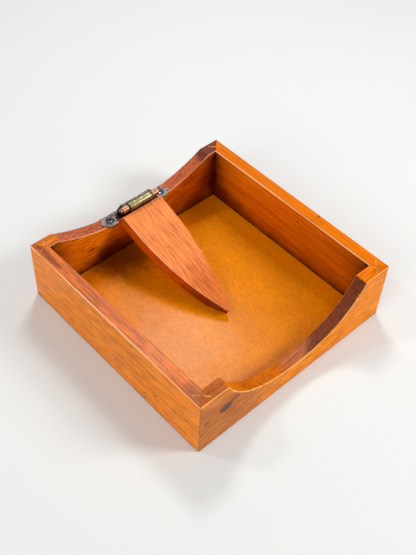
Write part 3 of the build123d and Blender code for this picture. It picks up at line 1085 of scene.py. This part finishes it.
@dataclass(frozen=True)
class NapkinArm:
    """The leaf-shaped arm, which falls by ARM_FALL degrees toward its tip at rest."""

    wood: StainedWood = StainedWood(
        name="arm_board",
        # Pale carries the wood's colour plus a painted pinkish sheen of the lamps on the arm's top.
        pale=(0.87, 0.25, 0.070),
        dark=(0.46, 0.092, 0.022),
        # Rim: the sides' wood darkened with painted shade.
        rim=(0.62, 0.11, 0.003),
        end=(0.34, 0.05, 0.002),
        grain=Grain.FRONT_TO_BACK,
        face=Face.LYING,
        tilt=-ARM_FALL,
        pith=in_mm(0, 50, -70),
        wear_and_highlight_colour=(1.0, 0.62, 0.42),
        ring_spacing=1.4 * MM,
        wander=2.4 * MM,
        fibre_scale=(60.0, 1000.0, 1000.0),
        fibre=0.36,
        contrast=0.24,
        flecks=0.25,
        corner_shade=0.0,
        wear_and_highlight=0.95,
        smooth=0.32,
        rubbed=0.45,
        knots=(Knot(in_mm(7.4, 25.2, 27.6), 0.62 * MM),),
        blotches=(
            Blotch(in_mm(0, -14, 18), in_mm(26, 50, 26), (0.60, 0.135, 0.022), 0.8),
            # Painted shade on the arm's low sides toward its tip, near the floor.
            Blotch(in_mm(-8, -12, 8), in_mm(20, 60, 20), (0.18, 0.03, 0.003), 0.85, Where.EDGES),
        ),
    )

    def build(self, groups: Groups) -> None:
        """Dresses the arm."""
        dress("napkin_arm", self.wood.material(groups))


# Points on turned pieces, and the limits by which the sheet metal's edges are found and cleaned.
TURNED_SIDES = 96
DOME_POINTS = 14
CORNER_POINTS = 7
CORNER_SHARE = 0.45
SHORT_QUARTER = 0.49 * np.pi
SAME_POINT = 0.002 * MM
FLAT = math.radians(0.5)
SHARP = math.radians(40)


def turned(
    name: str, along: np.ndarray, radius: np.ndarray, axis: Vector, looped: bool
) -> bpy.types.Object:
    """Adds a piece turned about a line parallel to X.

    Point (i, k) lies along[i] up the axis and radius[i] from it, at k shares of a full turn, so its Y
    is the radius times the cosine of that angle and its Z the radius times the sine. A looped profile
    is a closed curve and makes a ring; any other runs from pole to pole, and a fan closes each pole.

    Args:
        name: name of the piece.
        along: the profile's places on X, in metres.
        radius: the profile's distances from the axis.
        axis: a point on the axis.
        looped: whether the profile's last point joins its first.

    Returns:
        The new piece, smooth all over and facing outward.
    """
    sides = TURNED_SIDES
    angle = np.linspace(0.0, 2.0 * np.pi, sides, endpoint=False)
    x = np.repeat(along[:, None], sides, axis=1)
    y = axis.y + radius[:, None] * np.cos(angle)
    z = axis.z + radius[:, None] * np.sin(angle)
    points = np.stack((x, y, z), axis=-1).reshape(-1, 3)

    rows = len(along)
    row, side = np.meshgrid(np.arange(rows if looped else rows - 1), np.arange(sides), indexing="ij")
    this_row, next_row = row * sides, (row + 1) % rows * sides
    after = (side + 1) % sides
    around = (this_row + side, this_row + after, next_row + after, next_row + side)
    faces = np.stack(around, axis=-1).reshape(-1, 4).tolist()
    if not looped:
        poles = [(along[0], axis.y, axis.z), (along[-1], axis.y, axis.z)]
        first, last = len(points), len(points) + 1
        points = np.vstack((points, poles))
        ring = np.arange(sides)
        turned_ring = np.roll(ring, -1)
        start = np.full(sides, first)
        end = np.full(sides, last)
        rim = (rows - 1) * sides
        faces += np.stack((start, turned_ring, ring), axis=-1).tolist()
        faces += np.stack((end, rim + ring, rim + turned_ring), axis=-1).tolist()

    mesh = bpy.data.meshes.new(name)
    mesh.from_pydata(points.tolist(), [], faces)
    mesh.polygons.foreach_set("use_smooth", np.ones(len(mesh.polygons), dtype=bool))
    piece = bpy.data.objects.new(name, mesh)
    bpy.context.scene.collection.objects.link(piece)
    return piece


def sleeve_profile(start: float, end: float, inner: float, outer: float) -> tuple[np.ndarray, np.ndarray]:
    """Section of a thin sleeve: a rectangle whose corners are quarter circles.

    In each quarter the point is the corner's centre plus the corner radius times the cosine, along the
    axis, and the sine, away from it. The corner radius is a little under half the wall.

    Args:
        start: the sleeve's lower end on X.
        end: its upper end.
        inner: inner radius.
        outer: outer radius.

    Returns:
        Places along the axis and distances from it, in the order that turns the faces outward.
    """
    corner = CORNER_SHARE * (outer - inner)
    quarter = np.arange(4)[:, None]
    angle = quarter * np.pi / 2 + np.linspace(0.0, np.pi / 2, CORNER_POINTS)
    toward_end = np.where((quarter == 0) | (quarter == 3), 1.0, -1.0)
    outward = np.where(quarter < 2, 1.0, -1.0)
    along = (start + end) / 2 + toward_end * ((end - start) / 2 - corner) + corner * np.cos(angle)
    radius = (inner + outer) / 2 + outward * ((outer - inner) / 2 - corner) + corner * np.sin(angle)
    return along.ravel()[::-1], radius.ravel()[::-1]


def soften(node: str, width: float) -> None:
    """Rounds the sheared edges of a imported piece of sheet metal.

    Args:
        node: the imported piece.
        width: how far the rounding reaches from each edge.
    """
    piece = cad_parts[node]
    weld = piece.modifiers.new("weld", "WELD")
    weld.merge_threshold = SAME_POINT
    flatten = piece.modifiers.new("flatten", "DECIMATE")
    flatten.decimate_type = "DISSOLVE"
    flatten.angle_limit = FLAT
    bevel = piece.modifiers.new("soften", "BEVEL")
    bevel.width = width
    bevel.segments = 2
    bevel.limit_method = "ANGLE"
    bevel.angle_limit = SHARP


@dataclass(frozen=True)
class BarrelHinge:
    """The sprung hinge: leaves, knuckles, pin, bushes, spring and screws."""

    plate: float = 0.06 * MM
    wall: float = 0.5 * MM
    end_knuckle_length: float = 6.0 * MM
    head_length: float = 2.1 * MM
    neck_length: float = 0.3 * MM
    neck_depth: float = 0.35 * MM
    dome_length: float = 1.4 * MM
    shaft_radius: float = 1.5 * MM
    countersink: float = 3.8 * MM
    edge_rounding: float = 0.2 * MM
    bare_end: float = 0.25 * MM

    bronze_tarnished: Colour = (0.06, 0.045, 0.042)
    bronze_clean: Colour = (0.17, 0.13, 0.12)
    bronze_bare: Colour = (0.95, 0.74, 0.68)
    brass: PlatedMetal = PlatedMetal(
        "olive_brass", (0.16, 0.135, 0.06), (0.32, 0.275, 0.15), (0.55, 0.5, 0.36), 0.36, 0.44, grit=0.03
    )
    # Near-black wing: tarnish with painted shade for the gap under the barrel.
    shaded_wing_brass: PlatedMetal = PlatedMetal(
        "wing_brass_painted_shade", (0.02, 0.017, 0.011), (0.08, 0.068, 0.04), (0.3, 0.26, 0.16), 0.3, 0.5
    )
    copper: PlatedMetal = PlatedMetal(
        "copper_plate", (0.27, 0.125, 0.06), (0.52, 0.27, 0.15), (0.7, 0.46, 0.34), 0.34, 0.42, grit=0.03
    )
    pin_plate: PlatedMetal = PlatedMetal(
        "pin_plate", (0.12, 0.085, 0.07), (0.42, 0.31, 0.27), (0.8, 0.62, 0.55), 0.18, 0.3, grit=0.05
    )
    steel: PlatedMetal = PlatedMetal(
        "screw_steel", (0.015, 0.015, 0.018), (0.05, 0.05, 0.058), (0.85, 0.9, 0.95), 0.2, 0.4
    )
    wire: PlatedMetal = PlatedMetal(
        "spring_wire", (0.35, 0.35, 0.36), (0.55, 0.55, 0.56), (0.7, 0.7, 0.7), 0.2, 0.3
    )
    nylon: MouldedNylon = MouldedNylon("black_nylon", (0.004, 0.004, 0.004), 0.5)

    def build(self, groups: Groups) -> None:
        """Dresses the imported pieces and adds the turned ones."""
        dress("hinge_fixed_leaf", self._bronze().material(groups))
        # The wing's near-black finish is tarnish with painted shade.
        dress("hinge_moving_leaf", self.shaded_wing_brass.material(groups))
        soften("hinge_fixed_leaf", self.edge_rounding)
        soften("hinge_moving_leaf", self.edge_rounding)
        dress("closing_spring", self.wire.material(groups))
        nylon = self.nylon.material()
        steel = self.steel.material(groups)
        for side in ("left", "right"):
            dress(f"bush_{side}", nylon)
            dress(f"rim_screw_{side}", steel)
            dress(f"arm_screw_{side}", steel)
        self._pin(groups)
        self._sleeves(groups)

    def _bronze(self) -> PlatedMetal:
        """The leaf's finish, darkened round both screws out to the countersinks' radius."""
        hollows = []
        for side in ("left", "right"):
            low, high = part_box(f"rim_screw_{side}")
            hollows.append(Hollow((low.x + high.x) / 2, (low.y + high.y) / 2, self.countersink))
        return PlatedMetal(
            "dark_bronze",
            self.bronze_tarnished,
            self.bronze_clean,
            self.bronze_bare,
            0.26,
            0.45,
            hollows=tuple(hollows),
        )

    def _axis(self) -> Vector:
        """Middle of the barrel."""
        low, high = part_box("hinge_pin")
        return (low + high) / 2

    def _pin(self, groups: Groups) -> None:
        """Headed pin: a straight shaft, a neck under each head, and a head that ends in a dome.

        Over the dome, the place along the axis grows with the sine and the radius shrinks with the
        cosine of an angle that runs to just short of a quarter turn. The other half is the mirror image.
        """
        low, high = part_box("hinge_pin")
        head_radius = (high.z - low.z) / 2
        seat = high.x - self.head_length
        dome = np.linspace(0.0, SHORT_QUARTER, DOME_POINTS)
        neck = np.array([0.0, seat, seat, seat + self.neck_length, seat + self.neck_length])
        neck_radius = head_radius - self.neck_depth
        steps = np.array([self.shaft_radius, self.shaft_radius, neck_radius, neck_radius, head_radius])
        along = np.concatenate((neck, high.x - self.dome_length + self.dome_length * np.sin(dome)))
        radius = np.concatenate((steps, head_radius * np.cos(dome)))
        along = np.concatenate((-along[:0:-1], along[1:]))
        radius = np.concatenate((radius[:0:-1], radius[1:]))
        pin = turned("turned_hinge_pin", along, radius, self._axis(), looped=False)
        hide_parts("hinge_pin")
        self._finish(pin, self.pin_plate.material(groups), "tray")

    def _sleeves(self, groups: Groups) -> None:
        """Plated skins of the three knuckles, a hair proud of the rolled sheet and short of the gaps."""
        axis = self._axis()
        copper = self.copper.material(groups)
        end_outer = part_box("hinge_fixed_leaf")[1].z - axis.z + self.plate
        end_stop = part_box("hinge_pin")[1].x - self.head_length
        for side, hand in (("left", -1), ("right", 1)):
            inward = end_stop - self.end_knuckle_length + self.bare_end
            start, end = sorted((hand * inward, hand * end_stop))
            along, radius = sleeve_profile(start, end, end_outer - self.wall, end_outer)
            skin = turned(f"end_knuckle_skin_{side}", along, radius, axis, looped=True)
            self._finish(skin, copper, "tray")

        low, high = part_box("hinge_moving_leaf")
        outer = high.z - axis.z + self.plate
        start, end = low.x + self.bare_end, high.x - self.bare_end
        along, radius = sleeve_profile(start, end, outer - self.wall, outer)
        skin = turned("middle_knuckle_skin", along, radius, axis, looped=True)
        self._finish(skin, self.brass.material(groups), "arm")

    def _finish(self, piece: bpy.types.Object, material: bpy.types.Material, body: str) -> None:
        """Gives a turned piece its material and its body."""
        piece.data.materials.append(material)
        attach(piece, body)
        log.info("added %s in %s", piece.name, material.name)


def main() -> None:
    """Dresses the holder, sets up the studio and places the camera."""
    logging.basicConfig(level=logging.INFO, format="%(message)s")
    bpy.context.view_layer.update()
    groups = Groups.build()
    for part in (Tray(), NapkinArm(), BarrelHinge()):
        part.build(groups)
    Studio().build()
    Viewpoint().place_camera()


if __name__ == "__main__":
    main()
